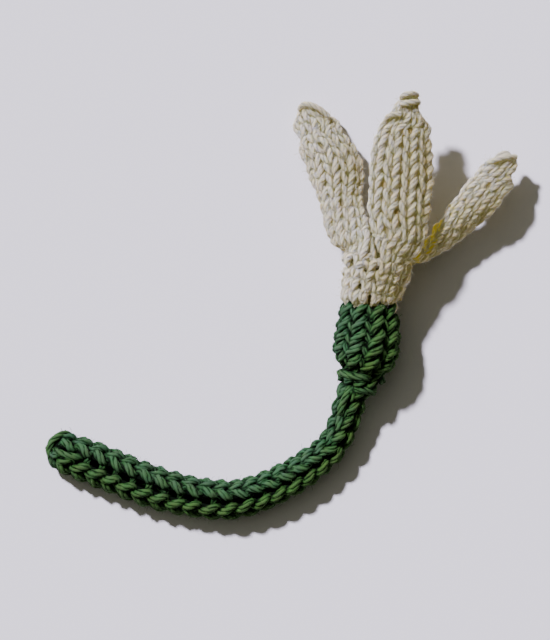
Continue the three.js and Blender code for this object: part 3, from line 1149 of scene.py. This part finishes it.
# The wad of stuffing that keeps the cup round
wad = {"middle": 93.0, "halfLength": 6.2, "radius": 3.6, "lump": 2.2, "lumpSize": 3.5, "fineness": 5}
place, _, forward, right, over = spine.read(wad["middle"])
shape = bmesh.new()
bmesh.ops.create_icosphere(shape, subdivisions=wad["fineness"], radius=1)
for point in shape.verts:
    x, y, z = point.co
    spot = place + wad["radius"] * (x * right + z * over) + wad["halfLength"] * y * forward
    point.co = Vector(spot * mm)
wadMesh = bpy.data.meshes.new("wadShape")
shape.to_mesh(wadMesh)
shape.free()
wadShape = link("wadShape", wadMesh)
wadSettings = {"Lump": wad["lump"] * mm, "Size": wad["lumpSize"] * mm, "Material": whiteWadding}
stuffing = link("stuffing", bake(wadShape, waddingTree, wadSettings, "stuffing"))
discard(wadShape)
print("stuffing teased")


# How open each point lies among all the yarn, which sets the painted shade of crevices and hollows
def wholeFlower(objects):
    points, faces, offset = [], [], 0
    for thing in objects:
        mesh = thing.data
        flat = np.empty(len(mesh.vertices) * 3)
        mesh.vertices.foreach_get("co", flat)
        points.append(flat.reshape(-1, 3))
        faces += [tuple(corner + offset for corner in polygon.vertices) for polygon in mesh.polygons]
        offset += len(mesh.vertices)
    mesh = bpy.data.meshes.new("whole")
    mesh.from_pydata(np.concatenate(points).tolist(), [], faces)
    return link("whole", mesh)


def remade(thing, tree, settings):
    mesh = bake(thing, tree, settings, thing.name)
    old = thing.data
    thing.data = mesh
    bpy.data.meshes.remove(old)


crevice = {"reach": 4, "hollow": 18}  # how far the rays look for the nearest yarn and for the rest
whole = wholeFlower(made.values())
for thing in made.values():
    settings = {
        "Whole": whole,
        "Reach": crevice["reach"] * mm,
        "Hollow": crevice["hollow"] * mm,
        "Material": thing.data.materials[0],
    }
    remade(thing, creviceTree, settings)
discard(whole)
print("crevices measured")

# Loose fibres; they are grown last, so that they take the colour of the yarn they leave
fuzz = {
    "creamPerArea": 3.6e5, "greenPerArea": 1.8e5, "length": 1.1, "thickness": 0.022, "tilt": 2.0,
    "seed": 50,
}
for number, thing in enumerate(made.values()):
    green = thing.data.materials[0] == greenYarn
    settings = {
        "Density": fuzz["greenPerArea"] if green else fuzz["creamPerArea"],
        "Length": fuzz["length"] * mm,
        "Thickness": fuzz["thickness"] * mm,
        "Tilt": fuzz["tilt"],
        "Seed": fuzz["seed"] + number,
        "Material": thing.data.materials[0],
    }
    remade(thing, hairTree, settings)
    print(thing.name, "with loose fibres:", len(thing.data.polygons), "faces")

nodeOf = {
    "knittedStem": "stem",
    "knittedCup": "calyx",
    "knittedTube": "corolla_tube",
    "leftPetal": "petal_left",
    "middlePetal": "petal_middle",
    "rightPetal": "petal_right",
}
for name, thing in made.items():
    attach(thing, "root")
    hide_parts(nodeOf[name])
    "green_yarn" if name in ("knittedStem", "knittedCup") else "cream_yarn"
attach(stuffing, "root")
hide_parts("calyx_stuffing")


# Floor, light and camera
floor = {"size": 3.0, "colour": (0.78, 0.78, 0.78), "roughness": 0.8}
half = floor["size"] / 2
floorMesh = bpy.data.meshes.new("floor")
floorMesh.from_pydata(
    [(-half, -half, 0), (half, -half, 0), (half, half, 0), (-half, half, 0)], [], [(0, 1, 2, 3)]
)
floorMaterial, _, floorShader = startMaterial("paper")
fill(floorShader, {"Base Color": (*floor["colour"], 1), "Roughness": floor["roughness"]})
floorMesh.materials.append(floorMaterial)
link("floor", floorMesh)

light = {
    "towards": (-0.45, 0.54, 0.707), "sky": (1.0, 0.95, 0.76), "skyStrength": 0.075,
    # the window itself and the broad glow round it: strength, angle and colour
    "suns": {"window": (8.1, 4.5, (1.0, 0.94, 1.16)), "glow": (0.45, 80, (1.0, 0.95, 0.82))},
}
for name, (strength, angle, colour) in light["suns"].items():
    sun = bpy.data.lights.new(name, "SUN")
    sun.energy = strength
    sun.angle = math.radians(angle)
    sun.color = colour
    sunObject = bpy.data.objects.new(name, sun)
    sunObject.rotation_mode = "QUATERNION"
    sunObject.rotation_quaternion = Vector(light["towards"]).to_track_quat("Z", "Y")
    bpy.context.scene.collection.objects.link(sunObject)
world = bpy.data.worlds.new("studio")
world.use_nodes = True
sky = world.node_tree.nodes["Background"]
fill(sky, {"Color": (*light["sky"], 1), "Strength": light["skyStrength"]})
bpy.context.scene.world = world

# The picture's middle and height, measured at the level above the floor, and the camera's lens
shot = {"centre": (-1.98, -2.97), "height": 140.8, "level": 8.0, "lens": 400, "sensor": 36}
camera = bpy.data.cameras.new("camera")
camera.lens = shot["lens"]
camera.sensor_width = shot["sensor"]
camera.clip_start = 0.05
camera.clip_end = 10
cameraObject = bpy.data.objects.new("camera", camera)
distance = shot["height"] * shot["lens"] / shot["sensor"] + shot["level"]
cameraObject.location = Vector((*shot["centre"], distance)) * mm
bpy.context.scene.collection.objects.link(cameraObject)
bpy.context.scene.camera = cameraObject
